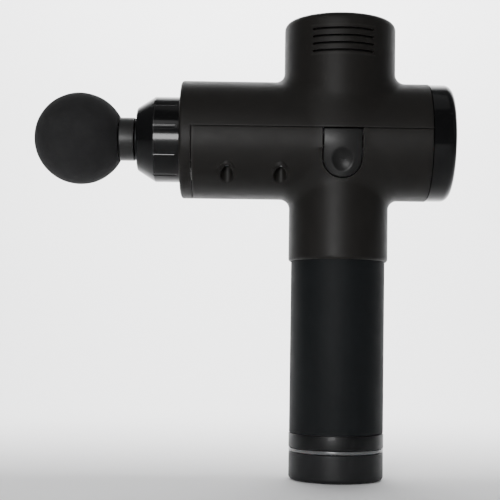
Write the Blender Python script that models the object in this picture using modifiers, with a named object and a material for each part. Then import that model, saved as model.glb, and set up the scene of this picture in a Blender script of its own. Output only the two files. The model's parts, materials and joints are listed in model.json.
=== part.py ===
"""Percussion massage gun that stands on its round battery handle.

Lengths are in metres. The origin is the centre of the handle's bottom face, +Z runs up the handle
and the motor tower, -X points to the massage head and +X to the display. Y = 0 is the mirror plane.
"""

import math

import bmesh
import bpy
from mathutils import Vector

# Driving dimensions ---------------------------------------------------------------------------
GAP = 0.0003  # clearance left between pieces that touch
WALL = 0.0024  # housing wall

HANDLE_R = 0.0251  # rubber grip, outside
BARREL_R = 0.0315
BARREL_Z = 0.1807  # height of the barrel's axis, which is also the drive line
TOWER_R = 0.0299
TOWER_TOP_Z = 0.2444
COLLAR_R = 0.0266
COLLAR_BOTTOM_Z = 0.1157

BARREL_FRONT_X = -0.0848
FRONT_SEAM_X = -0.0786
REAR_SEAM_X = 0.0466
REAR_END_X = 0.0594
SEAM_Z = 0.1833  # split line between the upper and the lower shell

NOSE_R = 0.0229
NOSE_FACE_R = 0.0171
NOSE_CHAMFER_X = -0.0991
NOSE_FACE_X = -0.1082

SHAFT_R = 0.01125
SHAFT_FRONT_X = -0.1095
SOCKET_R = 0.0083
SOCKET_DEPTH = 0.024
NECK_R = 0.0116
PLUG_R = 0.0080
BALL_R = 0.0246
BALL_X = -0.1394

CRANK_THROW = 0.005  # half of the 10 mm stroke
WRIST_X = -0.042
ROD_HALF = 0.003  # half of the connecting rod's thickness
MOTOR_SHAFT_R = 0.003
PIN_BORE = 0.0033  # wrist pin's hole, in the rod and in the shaft's fork

CELL_R = 0.0092  # 18650 cell with its sleeve
CELL_LENGTH = 0.065
CELL_LAYERS_Z = (0.0222, 0.0890)

LIGHT_RING_Z = (0.0150, 0.0168)
LIGHT_BAND_TOP_Z = 0.0245
END_CAP_TOP_Z = 0.0147
END_CAP_R = 0.0252
END_CAP_FLOOR = 0.003

SCREW_X = (-0.0597, -0.0319)  # the two pairs of housing screws, driven up from the belly
SCREW_Y = 0.0223
RECESS_R = 0.00325
RECESS_FLOOR_Z = 0.1662

TAB_HALF_WIDTH = 0.0102
TAB_CENTRE_Z = 0.1682
DIMPLE_Z = 0.1661
DIMPLE_R = 0.0062
DIMPLE_DEPTH = 0.0011

VENT_TOP_Z = 0.2355
VENT_PITCH = 0.00383
VENT_COUNT = 4
VENT_HALF_WIDTH = 0.0156
VENT_HEIGHT = 0.0013

SWITCH_X = -0.012
SWITCH_PIVOT_Z = 0.0065
SWITCH_OPENING = (0.0130, 0.0082)
SWITCH_TILT = math.radians(8)  # the rocker rests this far from level, on its off side
JACK_X = 0.013

DRIVE_LINE = (0, 0, BARREL_Z)
FINE, ROUND, SMALL = 32, 20, 12  # steps round a large, a middling and a small turned piece

PARTS = bpy.data.collections.new("massage_gun")
CUTTERS = bpy.data.collections.new("cutters")


# Scene and materials --------------------------------------------------------------------------
def clear_scene():
    for obj in list(bpy.data.objects):
        bpy.data.objects.remove(obj, do_unlink=True)
    bpy.context.scene.collection.children.link(PARTS)
    bpy.context.scene.collection.children.link(CUTTERS)
    CUTTERS.hide_render = True


def material(name, colour, roughness, metallic=0.0):
    made = bpy.data.materials.new(name)
    made.use_nodes = True
    shader = made.node_tree.nodes["Principled BSDF"]
    shader.inputs["Base Color"].default_value = (*colour, 1.0)
    shader.inputs["Roughness"].default_value = roughness
    shader.inputs["Metallic"].default_value = metallic
    return made


def make_materials():
    return {
        "housing": material("housing", (0.022, 0.022, 0.023), 0.55),
        "grip": material("grip", (0.011, 0.012, 0.013), 0.62),
        "gloss": material("gloss", (0.008, 0.008, 0.009), 0.12),
        "foam": material("foam", (0.010, 0.010, 0.010), 0.9),
        "head_plastic": material("head_plastic", (0.016, 0.016, 0.016), 0.4),
        "light": material("light", (0.35, 0.36, 0.37), 0.3),
        "lens": material("lens", (0.006, 0.006, 0.007), 0.05),
        "rubber": material("rubber", (0.012, 0.012, 0.012), 0.7),
        "frame": material("frame", (0.45, 0.46, 0.48), 0.4, 1.0),
        "steel": material("steel", (0.55, 0.56, 0.57), 0.3, 1.0),
        "copper": material("copper", (0.72, 0.33, 0.16), 0.35, 1.0),
        "magnet": material("magnet", (0.28, 0.28, 0.29), 0.35, 1.0),
        "bush": material("bush", (0.78, 0.76, 0.70), 0.5),
        "board": material("board", (0.02, 0.16, 0.07), 0.45),
        "cell": material("cell", (0.05, 0.22, 0.42), 0.35),
        "inner_plastic": material("inner_plastic", (0.06, 0.06, 0.065), 0.5),
        "end_plastic": material("end_plastic", (0.016, 0.016, 0.017), 0.5),
        "cable": material("cable", (0.35, 0.03, 0.02), 0.45),
    }


# Shape makers ---------------------------------------------------------------------------------
def place(name, mesh, finish, turn_to=None, at=(0, 0, 0)):
    """Links a mesh as a part, or as a cutter when it has no finish."""
    obj = bpy.data.objects.new(name, mesh)
    if turn_to == "X":
        obj.rotation_euler = (0, math.pi / 2, 0)
    obj.location = at
    if finish is None:
        CUTTERS.objects.link(obj)
        obj.hide_render = True
        obj.display_type = "WIRE"
    else:
        PARTS.objects.link(obj)
        mesh.materials.append(finish)
    return obj


def turned(name, profile, finish=None, turn_to=None, at=(0, 0, 0), steps=FINE):
    """A profile of (radius, height) turned round Z, or round X. It runs down its outer side.

    A chain that starts and ends on the axis is solid, and any other is closed into a ring.
    """
    mesh = bpy.data.meshes.new(name)
    count = len(profile)
    ring = profile[0][0] > 0 or profile[-1][0] > 0
    edges = [(i, (i + 1) % count) for i in range(count if ring else count - 1)]
    mesh.from_pydata([(r, 0, z) for r, z in profile], edges, [])
    obj = place(name, mesh, finish, turn_to, at)
    screw = obj.modifiers.new("Turn", "SCREW")
    screw.steps = steps
    screw.render_steps = steps
    screw.use_merge_vertices = True
    screw.merge_threshold = 0.00001
    screw.use_smooth_shade = True
    return obj


def cylinder(name, radius, low, high, finish=None, turn_to=None, at=(0, 0, 0), steps=ROUND):
    profile = [(0, high), (radius, high), (radius, low), (0, low)]
    return turned(name, profile, finish, turn_to, at, steps)


def ring(name, outer, inner, low, high, finish=None, turn_to=None, at=(0, 0, 0), steps=FINE):
    profile = [(outer, high), (outer, low), (inner, low), (inner, high)]
    return turned(name, profile, finish, turn_to, at, steps)


def arc(centre_r, centre_z, radius, start, end, count=4):
    """Profile points on a quarter-turn edge, from one angle to another in degrees."""
    turns = [math.radians(start + (end - start) * i / count) for i in range(count + 1)]
    return [(centre_r + radius * math.cos(a), centre_z + radius * math.sin(a)) for a in turns]


def ball(name, radius, finish, at, steps):
    mesh = bpy.data.meshes.new(name)
    body = bmesh.new()
    bmesh.ops.create_uvsphere(body, u_segments=steps, v_segments=steps // 2, radius=radius)
    body.to_mesh(mesh)
    body.free()
    mesh.shade_smooth()
    return place(name, mesh, finish, at=at)


def box(name, low, high, finish=None, edge=0.0):
    """A box between two corners, with its edges bevelled when edge is given."""
    mesh = bpy.data.meshes.new(name)
    body = bmesh.new()
    bmesh.ops.create_cube(body, size=1.0)
    size = Vector(high) - Vector(low)
    bmesh.ops.scale(body, vec=size, verts=body.verts)
    bmesh.ops.translate(body, vec=(Vector(high) + Vector(low)) / 2, verts=body.verts)
    body.to_mesh(mesh)
    body.free()
    obj = place(name, mesh, finish)
    if edge:
        bevel = obj.modifiers.new("Edges", "BEVEL")
        bevel.width = edge
        bevel.segments = 2
    return obj


def plate(name, outline, low, high, finish=None, axis="Z"):
    """A flat outline of (u, v) points extruded along Z, or along Y with the outline in X and Z."""
    mesh = bpy.data.meshes.new(name)
    body = bmesh.new()
    if axis == "Z":
        corners = [body.verts.new((u, v, low)) for u, v in outline]
        travel = (0, 0, high - low)
    else:
        corners = [body.verts.new((u, low, v)) for u, v in outline]
        travel = (0, high - low, 0)
    face = body.faces.new(corners)
    swept = bmesh.ops.extrude_face_region(body, geom=[face])
    moved = [item for item in swept["geom"] if isinstance(item, bmesh.types.BMVert)]
    bmesh.ops.translate(body, vec=travel, verts=moved)
    bmesh.ops.recalc_face_normals(body, faces=body.faces)
    body.to_mesh(mesh)
    body.free()
    return place(name, mesh, finish)


def joined(name, pieces):
    """Separate cutters put into one cutter object, for a single Boolean."""
    bpy.context.view_layer.update()
    graph = bpy.context.evaluated_depsgraph_get()
    body = bmesh.new()
    for piece in pieces:
        mesh = bpy.data.meshes.new_from_object(piece.evaluated_get(graph))
        mesh.transform(piece.matrix_world)
        body.from_mesh(mesh)
        bpy.data.meshes.remove(mesh)
        bpy.data.objects.remove(piece, do_unlink=True)
    mesh = bpy.data.meshes.new(name)
    body.to_mesh(mesh)
    body.free()
    return place(name, mesh, None)


def boolean(obj, other, operation="DIFFERENCE", solver="EXACT"):
    step = obj.modifiers.new(operation.title(), "BOOLEAN")
    step.operation = operation
    step.object = other
    step.solver = solver


def mirrored_y(y):
    return (y, -y)


# Housing --------------------------------------------------------------------------------------
def barrel_profile():
    edge = 0.001
    front_edge = arc(BARREL_R - edge, BARREL_FRONT_X + edge, edge, 0, -90, 3)
    return [(0, REAR_SEAM_X), (BARREL_R, REAR_SEAM_X), *front_edge, (0, BARREL_FRONT_X)]


def barrel_hollow(name, front):
    """The space inside the barrel's wall, from a given front end out past the rear seam."""
    return cylinder(name, BARREL_R - WALL, front, REAR_SEAM_X + 0.001, None, "X", DRIVE_LINE, FINE)


def tower_profile(inset, bottom):
    edge = 0.0035 - min(inset, 0.002)
    radius = TOWER_R - inset
    top = TOWER_TOP_Z - inset
    return [(0, top), *arc(radius - edge, top - edge, edge, 90, 0), (radius, bottom), (0, bottom)]


def collar_profile(inset, bottom):
    radius = COLLAR_R - inset
    return [(0, BARREL_Z), (radius, BARREL_Z), (radius, bottom), (0, bottom)]


def bosses(name, radius, low, high):
    """Four upright posts at the housing screws, as one cutter."""
    posts = []
    for x in SCREW_X:
        for y in mirrored_y(SCREW_Y):
            posts.append(cylinder("post", radius, low, high, at=(x, y, 0), steps=SMALL))
    return joined(name, posts)


def make_upper_shell(mats):
    """Tower, top half of the barrel and the whole ring at the barrel's front."""
    shell = turned("upper_shell", barrel_profile(), mats["housing"], "X", DRIVE_LINE)
    boolean(shell, turned("tower", tower_profile(0, BARREL_Z)), "UNION")

    hollow = barrel_hollow("upper_hollow", BARREL_FRONT_X + WALL)
    boolean(hollow, turned("tower_hollow", tower_profile(WALL, BARREL_Z)), "UNION")
    boolean(hollow, bosses("upper_bosses", 0.0040, SEAM_Z, 0.1972))
    boolean(shell, hollow)

    below = box("below_seam", (FRONT_SEAM_X, -0.04, 0.1382), (0.06, 0.04, SEAM_Z + GAP / 2))
    boolean(shell, below)
    hole = cylinder("nose_hole", NOSE_R + GAP, -0.09, -0.07, None, "X", DRIVE_LINE, FINE)
    boolean(shell, hole)
    boolean(shell, bosses("pilot_holes", 0.0018, 0.1782, 0.1957))

    slots = []
    for index in range(VENT_COUNT):
        z = VENT_TOP_Z - index * VENT_PITCH
        low = (-VENT_HALF_WIDTH, -0.035, z - VENT_HEIGHT / 2)
        slots.append(box("slot", low, (VENT_HALF_WIDTH, 0.035, z + VENT_HEIGHT / 2)))
    boolean(shell, joined("vent_slots", slots), solver="MANIFOLD")


def tab_outline(margin):
    """The U of the side cover: straight sides from above the seam, with a half-round bottom."""
    half = TAB_HALF_WIDTH + margin
    top = SEAM_Z + 0.003 if margin else SEAM_Z - GAP
    points = [(half, top), (-half, top)]
    for step in range(17):
        angle = math.pi * (1 + step / 16)
        points.append((half * math.cos(angle), TAB_CENTRE_Z + half * math.sin(angle)))
    return points


def make_lower_shell(mats):
    """Belly of the barrel with the collar that the handle goes up into."""
    front = FRONT_SEAM_X + GAP
    finish = mats["housing"]
    shell = cylinder("lower_shell", BARREL_R, front, REAR_SEAM_X, finish, "X", DRIVE_LINE, FINE)
    boolean(shell, turned("collar", collar_profile(0, COLLAR_BOTTOM_Z)), "UNION")

    hollow = barrel_hollow("lower_hollow", FRONT_SEAM_X - 0.001)
    boolean(hollow, turned("collar_hollow", collar_profile(COLLAR_R - 0.0239, 0.1082)), "UNION")
    boolean(hollow, bosses("lower_bosses", 0.0044, 0.1482, SEAM_Z))
    boolean(shell, hollow)
    rebate = cylinder("grip_rebate", HANDLE_R + 0.0004, 0.1082, 0.1192, steps=FINE)
    boolean(shell, rebate)

    above = box("above_seam", (-0.09, -0.04, SEAM_Z - GAP / 2), (0.06, 0.04, 0.2582))
    boolean(shell, above)
    boolean(shell, bosses("screw_recesses", RECESS_R, 0.1382, RECESS_FLOOR_Z))
    boolean(shell, bosses("screw_clearance", 0.0018, 0.1582, 0.1882))
    boolean(shell, plate("side_windows", tab_outline(GAP), -0.035, 0.035, axis="Y"))


def make_side_cover(name, side, mats):
    """Snap-in cover in the U-shaped window, flush with the barrel, with a round finger dimple."""
    reach = sorted((side * 0.02, side * 0.035))
    cover = plate(name, tab_outline(0), *reach, mats["housing"], "Y")
    skin = ring(name + "_skin", BARREL_R, BARREL_R - WALL, -0.02, 0.02, None, "X", DRIVE_LINE, FINE)
    boolean(cover, skin, "INTERSECT")

    ball_r = (DIMPLE_R**2 + DIMPLE_DEPTH**2) / (2 * DIMPLE_DEPTH)
    below_axis = math.asin((BARREL_Z - DIMPLE_Z) / BARREL_R)
    away = BARREL_R - DIMPLE_DEPTH + ball_r
    centre = (0, side * away * math.cos(below_axis), BARREL_Z - away * math.sin(below_axis))
    boolean(cover, ball(name + "_dent", ball_r, None, centre, 48))


def make_housing_screws(mats):
    index = 0
    head_top = RECESS_FLOOR_Z - GAP
    for x in SCREW_X:
        for y in mirrored_y(SCREW_Y):
            index += 1
            profile = [
                (0, 0.1932), (0.0015, 0.1932), (0.0015, head_top), (0.0029, head_top),
                (0.0029, head_top - 0.0019), (0, head_top - 0.0019),
            ]
            turned(f"housing_screw_{index}", profile, mats["steel"], at=(x, y, 0), steps=SMALL)


def make_rear(mats):
    start, end, outer, edge = REAR_SEAM_X + GAP, REAR_END_X, BARREL_R - 0.0002, 0.0045
    profile = [
        (0.0256, end), *arc(outer - edge, end - edge, edge, 90, 0), (outer, start),
        (0.0285, start), (0.0285, 0.0551), (0.0235, 0.0551), (0.0235, 0.0565), (0.0256, 0.0565),
    ]
    turned("rear_bezel", profile, mats["gloss"], "X", DRIVE_LINE)
    cylinder("display_lens", 0.0253, 0.0568, 0.0591, mats["lens"], "X", DRIVE_LINE, FINE)
    board = cylinder("display_board", 0.0225, 0.0521, 0.0537, mats["board"], "X", DRIVE_LINE)
    notch = box("board_notch", (0.048, -0.004, 0.1482), (0.06, 0.004, BARREL_Z - 0.019))
    boolean(board, notch)
    box("control_board", (0.0364, -0.018, 0.1642), (0.0380, 0.018, 0.1982), mats["board"], 0.0003)


# Nose and drive -------------------------------------------------------------------------------
def make_nose(mats):
    inside = 0.0150
    front_lip = NOSE_FACE_X + 0.0016
    flange_front = BARREL_FRONT_X + WALL + GAP
    flange_rear = flange_front + 0.0024
    face_edge = arc(NOSE_FACE_R - 0.0006, NOSE_FACE_X + 0.0006, 0.0006, 30, -90, 2)
    flange_r, opening_r = 0.0275, 0.01225
    profile = [
        (flange_r, flange_rear), (flange_r, flange_front), (NOSE_R, flange_front),
        (NOSE_R, NOSE_CHAMFER_X), *face_edge, (opening_r, NOSE_FACE_X), (opening_r, front_lip),
        (inside, front_lip), (inside, flange_rear),
    ]
    turned("nose_sleeve", profile, mats["gloss"], "X", DRIVE_LINE)
    bore = SHAFT_R + GAP
    outer = inside - GAP
    throat = 0.0130  # the neck comes back this far through the seal without touching it
    lip = [
        (outer, -0.1028), (outer, front_lip + GAP), (throat, front_lip + GAP), (throat, -0.1040),
        (bore, -0.1043), (bore, -0.1036), (throat, -0.1028),
    ]
    turned("nose_seal", lip, mats["rubber"], "X", DRIVE_LINE, ROUND)
    ring("front_bush", outer, bore, -0.1020, -0.0880, mats["bush"], "X", DRIVE_LINE, ROUND)
    ring("rear_bush", outer, bore, -0.0780, -0.0640, mats["bush"], "X", DRIVE_LINE, ROUND)


def make_inner_frame(mats):
    """Cast frame that carries the rear bush ahead of the crank and the motor above it."""
    outer, inner = 0.0174, 0.0159
    frame = box("inner_frame", (-0.0650, -outer, 0.1677), (0.0224, outer, 0.1992), mats["frame"])
    tube = cylinder("bush_tube", outer, -0.0781, -0.0600, None, "X", DRIVE_LINE, ROUND)
    boolean(frame, tube, "UNION")
    boolean(frame, box("frame_hollow", (-0.0615, -inner, 0.1582), (0.0198, inner, 0.1952)))
    boolean(frame, cylinder("bush_bore", 0.0150, -0.09, -0.0600, None, "X", DRIVE_LINE, ROUND))
    boolean(frame, cylinder("shaft_hole", 0.0060, 0.1882, 0.2082))


def make_motor(mats):
    """Outer-rotor motor that stands in the tower, over the crank."""
    hub, seat, can_r = 0.0103, 0.0083, 0.0225
    base = [
        (hub, 0.2197), (hub, 0.2029), (can_r, 0.2029), (can_r, 0.1996), (0.0060, 0.1996),
        (0.0060, 0.2002), (seat, 0.2002), (seat, 0.2197),
    ]
    turned("motor_base", base, mats["frame"])
    for name, low in (("lower_bearing", 0.2006), ("upper_bearing", 0.2142)):
        ring(name, seat - GAP, MOTOR_SHAFT_R + GAP, low, low + 0.005, mats["steel"], steps=SMALL)

    teeth = 9
    stator = ring("motor_stator", 0.0192, hub + GAP, 0.2067, 0.2227, mats["copper"], steps=ROUND)
    slots = []
    for index in range(teeth):
        slot = box("slot", (0.0135, -0.0010, 0.1982), (0.0240, 0.0010, 0.2282))
        slot.rotation_euler = (0, 0, 2 * math.pi * index / teeth)
        slots.append(slot)
    boolean(stator, joined("stator_slots", slots))

    can = [
        (can_r, 0.2292), (can_r, 0.2042), (0.0213, 0.2042), (0.0213, 0.2278),
        (MOTOR_SHAFT_R + GAP, 0.2278), (MOTOR_SHAFT_R + GAP, 0.2292),
    ]
    turned("rotor_can", can, mats["steel"])
    ring("rotor_magnets", 0.0210, 0.0196, 0.2062, 0.2232, mats["magnet"], steps=ROUND)
    cylinder("motor_shaft", MOTOR_SHAFT_R, 0.1872, 0.2367, mats["steel"], steps=SMALL)

    blades = 7
    bore = MOTOR_SHAFT_R + GAP
    fan = ring("cooling_fan", 0.0062, bore, 0.2300, 0.2382, mats["inner_plastic"], steps=ROUND)
    vanes = []
    for index in range(blades):
        vane = box("vane", (0.0055, -0.0006, 0.2304), (0.0240, 0.0006, 0.2377))
        vane.rotation_euler = (0, 0, 2 * math.pi * index / blades)
        vanes.append(vane)
    boolean(fan, joined("fan_vanes", vanes), "UNION")


def link_outline(small, small_r, large, large_r, count=10):
    """Two round ends of a flat link and the straight sides that touch both."""
    arm = large - small
    heading = math.atan2(arm.y, arm.x)
    tangent = math.acos((small_r - large_r) / arm.length)
    points = []
    for centre, radius, start, end in (
        (large, large_r, heading - tangent, heading + tangent),
        (small, small_r, heading + tangent, heading - tangent + 2 * math.pi),
    ):
        for step in range(count + 1):
            angle = start + (end - start) * step / count
            points.append((centre.x + radius * math.cos(angle), centre.y + radius * math.sin(angle)))
    return points


def make_crank(mats):
    """Crank disc under the motor, its pin, and the rod that drives the hammer shaft."""
    low, high = 0.1864, 0.1932
    disc = ring("crank_disc", 0.0140, MOTOR_SHAFT_R + GAP, low, high, mats["steel"], steps=ROUND)
    relief = box("disc_relief", (-0.02, 0.0090, 0.1782), (0.02, 0.02, 0.1982))
    boolean(disc, relief)

    rod_low, rod_high = BARREL_Z - ROD_HALF, BARREL_Z + ROD_HALF
    pin_r, race_r = 0.0035, 0.0068
    big_end = (0, CRANK_THROW, 0)
    cylinder("crank_pin", pin_r, rod_low, low - GAP, mats["steel"], at=big_end, steps=SMALL)
    bore = pin_r + GAP
    ring("big_end_bearing", race_r, bore, rod_low, rod_high, mats["steel"], at=big_end, steps=SMALL)

    wrist = (WRIST_X, 0, 0)
    wrist_r, big_end_r = 0.0052, 0.0092
    outline = link_outline(Vector(wrist[:2]), wrist_r, Vector(big_end[:2]), big_end_r)
    rod = plate("connecting_rod", outline, rod_low, rod_high, mats["frame"])
    boolean(rod, cylinder("big_end_bore", race_r + GAP, 0.1682, 0.1982, at=big_end))
    boolean(rod, cylinder("wrist_bore", PIN_BORE, 0.1682, 0.1982, at=wrist, steps=SMALL))
    cylinder("wrist_pin", PIN_BORE - GAP, rod_low, rod_high, mats["steel"], at=wrist, steps=SMALL)


def make_drive_shaft(mats):
    """Hammer shaft: socket for the head's plug in front, fork for the rod behind."""
    fork_front, slot_front, fork_rear = -0.0625, -0.0590, -0.0360
    socket_end = SHAFT_FRONT_X + SOCKET_DEPTH
    edge = 0.0005
    profile = [
        (0, fork_front), (SHAFT_R, fork_front), (SHAFT_R, SHAFT_FRONT_X + edge),
        (SHAFT_R - edge, SHAFT_FRONT_X), (SOCKET_R, SHAFT_FRONT_X), (SOCKET_R, socket_end),
        (0, socket_end),
    ]
    shaft = turned("drive_shaft", profile, mats["steel"], "X", DRIVE_LINE, ROUND)
    half_height, half_width = 0.0088, 0.0068
    low = (fork_front - 0.001, -half_width, BARREL_Z - half_height)
    fork = box("fork", low, (fork_rear, half_width, BARREL_Z + half_height))
    boolean(shaft, fork, "UNION")
    slot_half = ROD_HALF + GAP
    slot_low = (slot_front, -0.02, BARREL_Z - slot_half)
    boolean(shaft, box("fork_slot", slot_low, (0, 0.02, BARREL_Z + slot_half)))
    boolean(shaft, cylinder("fork_bore", PIN_BORE, 0.1582, 0.1982, at=(WRIST_X, 0, 0), steps=SMALL))


def make_head(mats):
    """Ball head on its adapter, whose plug pushes into the shaft's socket."""
    neck_rear = SHAFT_FRONT_X - GAP
    neck_front = neck_rear - 0.0068
    stud_r, stud_front = 0.0070, -0.1300
    plug_rear = neck_rear + 0.0220
    groove_x, groove_r = -0.0930, 0.0071
    plug_edge = 0.0010
    profile = [
        (0, plug_rear), (PLUG_R - plug_edge, plug_rear), (PLUG_R, plug_rear - plug_edge),
        (PLUG_R, groove_x + 0.0011), (groove_r, groove_x + 0.0011), (groove_r, groove_x - 0.0011),
        (PLUG_R, groove_x - 0.0011), (PLUG_R, neck_rear), (NECK_R, neck_rear), (NECK_R, neck_front),
        (stud_r, neck_front), (stud_r, stud_front), (0, stud_front),
    ]
    turned("head_adapter", profile, mats["head_plastic"], "X", DRIVE_LINE, ROUND)
    seal_r = 0.0004
    seal = [
        (PLUG_R - 0.00035 + seal_r * math.cos(a), groove_x + 2 * seal_r * math.sin(a))
        for a in (math.radians(60 - 60 * step) for step in range(6))
    ]
    turned("head_o_ring", seal, mats["rubber"], "X", DRIVE_LINE, ROUND)

    head = ball("ball_head", BALL_R, mats["foam"], (BALL_X, 0, BARREL_Z), 28)
    head.rotation_euler = (0, math.pi / 2, 0)
    boolean(head, cylinder("stud_bore", stud_r + GAP, stud_front - GAP, -0.1, None, "X", DRIVE_LINE))
    boolean(head, cylinder("neck_seat", NECK_R + 0.003, neck_front - GAP, -0.1, None, "X", DRIVE_LINE))


# Handle ---------------------------------------------------------------------------------------
def make_handle(mats):
    tube_r = 0.0228
    ring("grip_sleeve", HANDLE_R, tube_r + GAP, LIGHT_BAND_TOP_Z + GAP, 0.1189, mats["grip"])
    band_low = LIGHT_RING_Z[1] + GAP
    ring("light_band", HANDLE_R + 0.0002, tube_r + GAP, band_low, LIGHT_BAND_TOP_Z, mats["gloss"])
    ring("light_ring", END_CAP_R, 0.0210, *LIGHT_RING_Z, mats["light"])
    ring("handle_tube", tube_r, 0.0210, band_low, 0.1562, mats["inner_plastic"])
    ring("led_board", 0.0205, 0.0120, 0.0154, 0.0166, mats["board"], steps=ROUND)


def make_battery(mats):
    """Six cells in two layers of three, between moulded trays, with the protection board on top."""
    triangle_r = (CELL_R + GAP / 2) / math.sin(math.pi / 3)
    tray_r, tray_z = 0.0207, (0.0186, 0.0875, 0.1543)
    index = 0
    for low in CELL_LAYERS_Z:
        for step in range(3):
            index += 1
            angle = math.pi / 2 + step * 2 * math.pi / 3
            at = (triangle_r * math.cos(angle), triangle_r * math.sin(angle), 0)
            top, shoulder = low + CELL_LENGTH, 0.0009
            profile = [
                (0, top), (0.003, top), (0.003, top - shoulder), (CELL_R - 0.0006, top - shoulder),
                (CELL_R, top - shoulder - 0.0006), (CELL_R, low), (0, low),
            ]
            turned(f"battery_cell_{index}", profile, mats["cell"], at=at, steps=16)
    names = ("battery_tray_lower", "battery_tray_middle", "battery_tray_upper")
    heights = (0.0032, 0.0012, 0.0022)
    for name, low, height in zip(names, tray_z, heights):
        ring(name, tray_r, 0.0030, low, low + height, mats["inner_plastic"], steps=ROUND)
    board = cylinder("battery_board", 0.0195, 0.1582, 0.1594, mats["board"])
    boolean(board, box("board_flat", (0.015, -0.03, 0.1482), (0.03, 0.03, 0.1682)))


def make_base(mats):
    """End cap with the rocker switch and the charging inlet set into its floor."""
    wall, edge = 0.0024, 0.0020
    inner = END_CAP_R - wall
    profile = [
        (0, END_CAP_FLOOR), (inner, END_CAP_FLOOR), (inner, END_CAP_TOP_Z), (END_CAP_R, END_CAP_TOP_Z),
        *arc(END_CAP_R - edge, edge, edge, 0, -90), (0, 0),
    ]
    cap = turned("end_cap", profile, mats["end_plastic"])
    frame_x, frame_y = SWITCH_OPENING[0] / 2 + 0.0012, SWITCH_OPENING[1] / 2 + 0.0012
    low = (SWITCH_X - frame_x - GAP, -frame_y - GAP, -0.01)
    boolean(cap, box("switch_cutout", low, (SWITCH_X + frame_x + GAP, frame_y + GAP, 0.0035)))
    jack_r = 0.0045
    boolean(cap, cylinder("jack_cutout", jack_r + GAP, -0.01, 0.0035, at=(JACK_X, 0, 0), steps=SMALL))

    screw_y = 0.0160
    heads, shanks = [], []
    for y in mirrored_y(screw_y):
        heads.append(cylinder("head", 0.0032, -0.01, 0.0018, at=(0, y, 0), steps=SMALL))
        shanks.append(cylinder("shank", 0.0018, -0.01, 0.0035, at=(0, y, 0), steps=SMALL))
    boolean(cap, joined("screw_heads", heads))
    boolean(cap, joined("screw_shanks", shanks))
    for index, y in enumerate(mirrored_y(screw_y)):
        head = [
            (0, 0.0120), (0.0015, 0.0120), (0.0015, 0.0015), (0.0029, 0.0015), (0.0029, 0.0004),
            (0, 0.0004),
        ]
        turned(f"end_cap_screw_{index + 1}", head, mats["steel"], at=(0, y, 0), steps=SMALL)

    low = (SWITCH_X - frame_x, -frame_y, 0.0006)
    body = box("switch_housing", low, (SWITCH_X + frame_x, frame_y, 0.0125), mats["inner_plastic"])
    half_x, half_y = SWITCH_OPENING[0] / 2, SWITCH_OPENING[1] / 2
    well_low = (SWITCH_X - half_x, -half_y, -0.01)
    boolean(body, box("switch_well", well_low, (SWITCH_X + half_x, half_y, 0.0110)))

    jack = [
        (0, 0.0130), (jack_r, 0.0130), (jack_r, 0.0006), (0.0029, 0.0006), (0.0029, 0.0105),
        (0.0010, 0.0105), (0.0010, 0.0022), (0, 0.0022),
    ]
    turned("dc_jack", jack, mats["inner_plastic"], at=(JACK_X, 0, 0), steps=SMALL)


def make_rocker(mats):
    """Rocker with two finger faces that meet in a shallow valley, tilted to its off side."""
    outline = [
        (-0.0056, -0.0036), (0, -0.0024), (0.0056, -0.0036), (0.0050, 0.0012),
        (0.0020, 0.0030), (-0.0020, 0.0030), (-0.0050, 0.0012),
    ]
    half_y = SWITCH_OPENING[1] / 2 - GAP
    rocker = plate("power_rocker", outline, -half_y, half_y, mats["gloss"], "Y")
    rocker.location = (SWITCH_X, 0, SWITCH_PIVOT_Z)
    rocker.rotation_euler = (0, SWITCH_TILT, 0)


def wire(name, points, radius, finish):
    """A lead laid through the given points on a smooth curve."""
    curve = bpy.data.curves.new(name, "CURVE")
    curve.dimensions = "3D"
    curve.bevel_depth = radius
    curve.bevel_resolution = 2
    curve.use_fill_caps = True
    smooth = smooth_route(points, 5)
    spline = curve.splines.new("POLY")
    spline.points.add(len(smooth) - 1)
    for point, place_at in zip(spline.points, smooth):
        point.co = (*place_at, 1.0)
    obj = bpy.data.objects.new(name, curve)
    curve.materials.append(finish)
    PARTS.objects.link(obj)


def smooth_route(points, steps):
    """Catmull-Rom points through a route, with its ends kept."""
    route = [Vector(p) for p in points]
    route = [2 * route[0] - route[1], *route, 2 * route[-1] - route[-2]]
    found = []
    for a, b, c, d in zip(route, route[1:], route[2:], route[3:]):
        for step in range(steps):
            t = step / steps
            bend = (2 * a - 5 * b + 4 * c - d) * t**2 + (3 * b - a - 3 * c + d) * t**3
            found.append(0.5 * (2 * b + (c - a) * t + bend))
    return [*found, route[-2]]


def make_leads(mats):
    """Leads between the battery, the control board, the motor and the display."""
    battery = [
        (0.0120, 0.004, 0.1600), (0.0126, 0.004, 0.1627), (0.0200, 0.004, 0.1645),
        (0.0275, 0.004, 0.1660), (0.0305, 0.004, 0.1688), (0.0350, 0.004, 0.1702),
    ]
    wire("battery_lead", battery, 0.0014, mats["cable"])
    motor = [(0.0230, 0, 0.2012), (0.0265, 0, 0.1992), (0.0290, 0, 0.1947), (0.0345, 0, 0.1912)]
    wire("motor_lead", motor, 0.0012, mats["cable"])
    display = [(0.0385, 0, 0.1782), (0.0430, 0, 0.1777), (0.0480, 0, 0.1792), (0.0517, 0, 0.1797)]
    wire("display_lead", display, 0.0010, mats["cable"])


def main():
    clear_scene()
    mats = make_materials()
    make_upper_shell(mats)
    make_lower_shell(mats)
    make_side_cover("side_cover_left", -1, mats)
    make_side_cover("side_cover_right", 1, mats)
    make_housing_screws(mats)
    make_rear(mats)
    make_nose(mats)
    make_inner_frame(mats)
    make_motor(mats)
    make_crank(mats)
    make_drive_shaft(mats)
    make_head(mats)
    make_handle(mats)
    make_battery(mats)
    make_base(mats)
    make_rocker(mats)
    make_leads(mats)


main()
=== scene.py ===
"""Percussion massage gun: the visible surfaces and their finishes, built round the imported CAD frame.

Lengths are in metres. -X points to the massage head, +X to the display and +Z up the handle.
"""

import json
import math

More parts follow.
